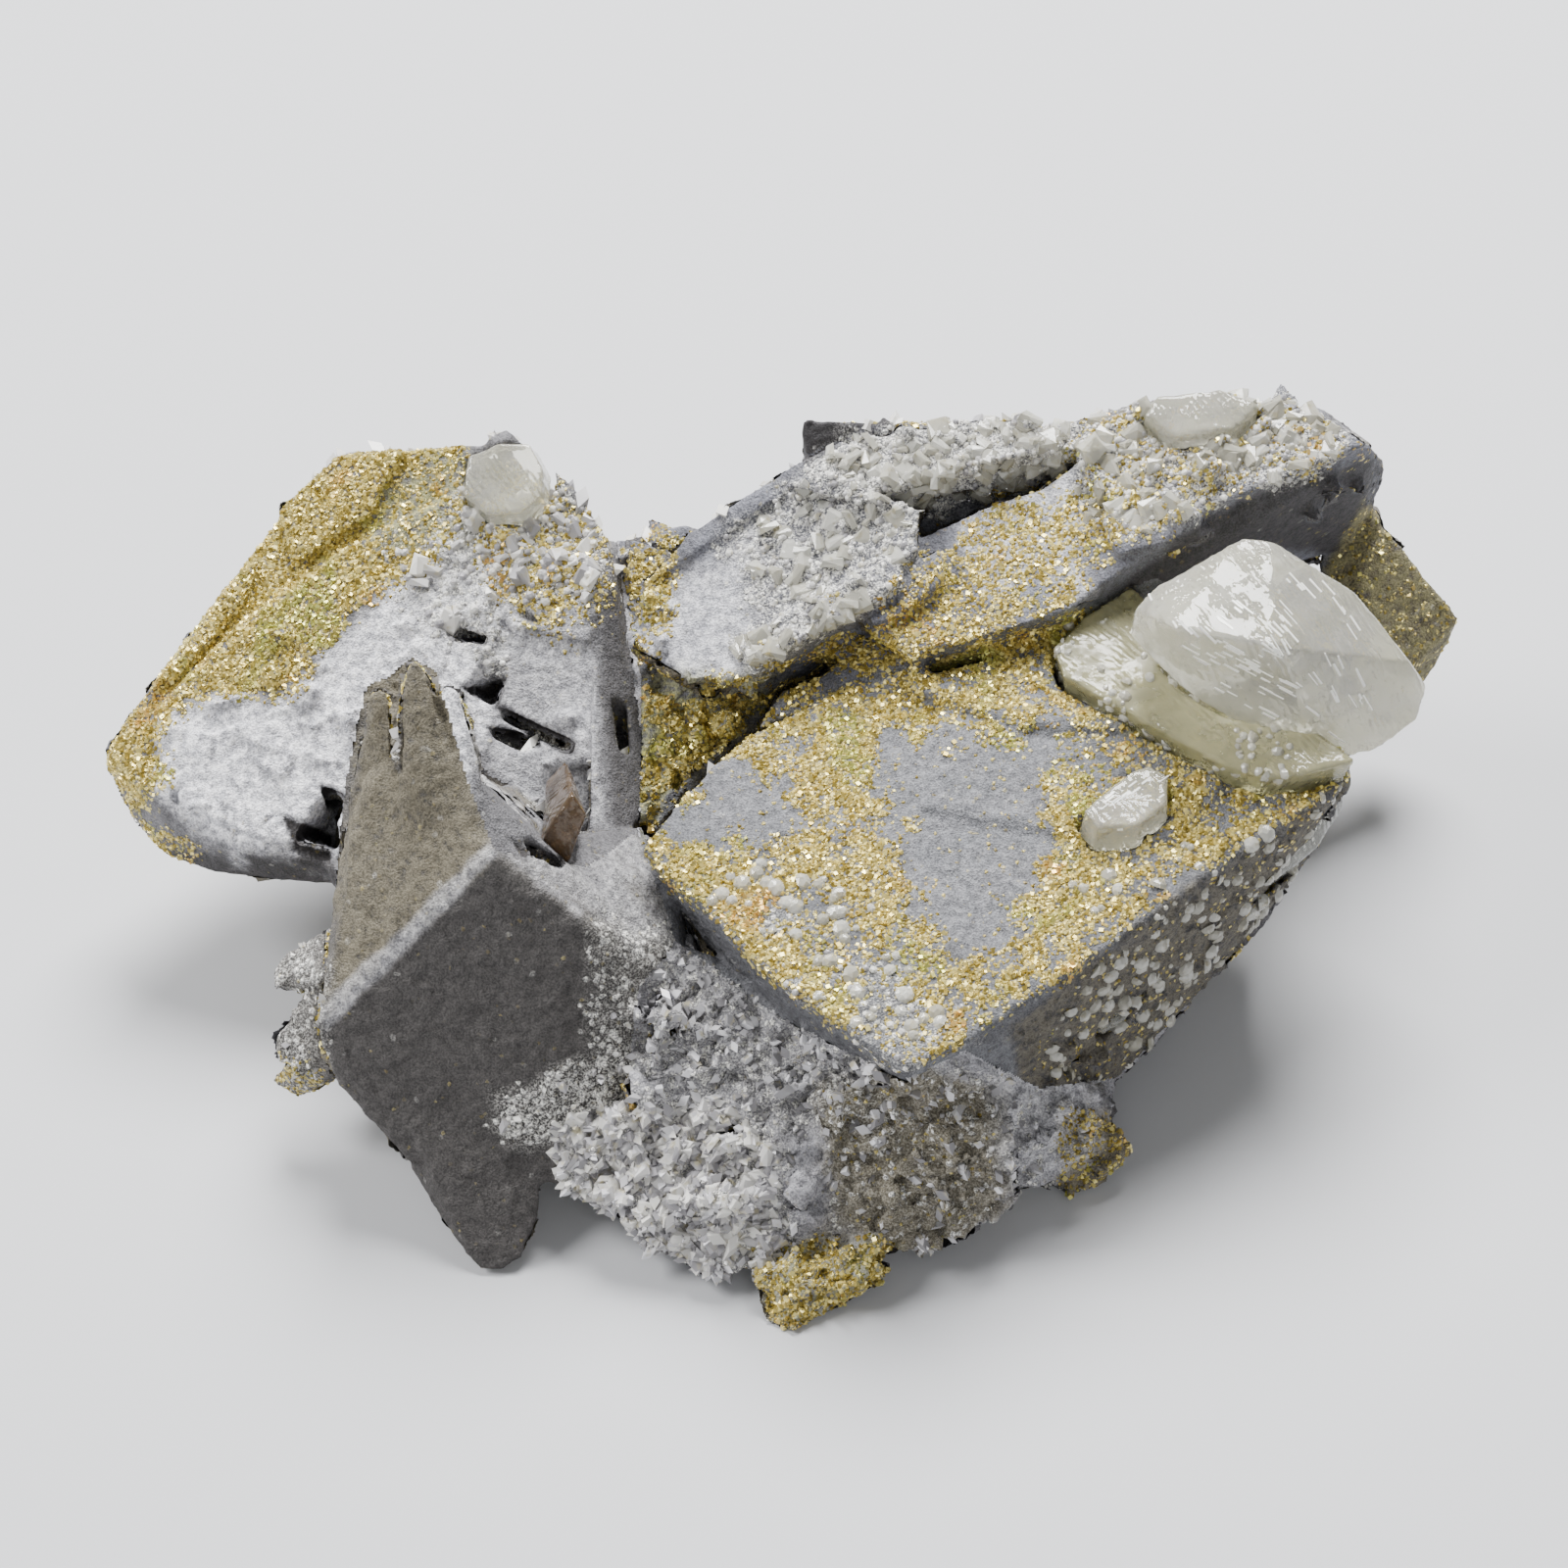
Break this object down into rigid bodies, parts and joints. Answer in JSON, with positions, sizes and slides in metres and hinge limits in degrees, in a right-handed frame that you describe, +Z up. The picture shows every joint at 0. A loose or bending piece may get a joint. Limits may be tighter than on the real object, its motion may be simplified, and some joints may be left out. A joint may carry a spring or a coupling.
{
  "type": "mineral specimen",
  "caption": "Cluster of dark intergrown calcite crystals dusted with gold-coloured pyrite, with a second growth of clear calcite.",
  "frame": {"origin": "middle of the underside: the bottom centre of the box around the cluster", "axes": "+X along the cluster's length, to the end with the large clear crystal; +Y to the back; +Z up"},
  "size_m": [0.0827, 0.0566, 0.0303],
  "materials": {
    "dark_calcite": "rough dark grey calcite, dusted with gold pyrite grains and white calcite",
    "clear_calcite": "clear, pale yellow calcite with cloudy veils",
    "smoky_calcite": "smoky brown calcite",
    "foot_calcite": "yellow-green clear calcite"
  },
  "bodies": {
    "root": {"crystal_cluster": "dark_calcite", "clear_crystal_large": "clear_calcite", "clear_crystal_edge": "clear_calcite", "clear_crystal_small": "clear_calcite", "clear_crystal_knob": "clear_calcite", "clear_crystal_crest": "clear_calcite", "clear_crystal_flank": "clear_calcite", "smoky_crystal": "smoky_calcite", "clear_crystal_foot": "foot_calcite"}
  },
  "joints": []
}
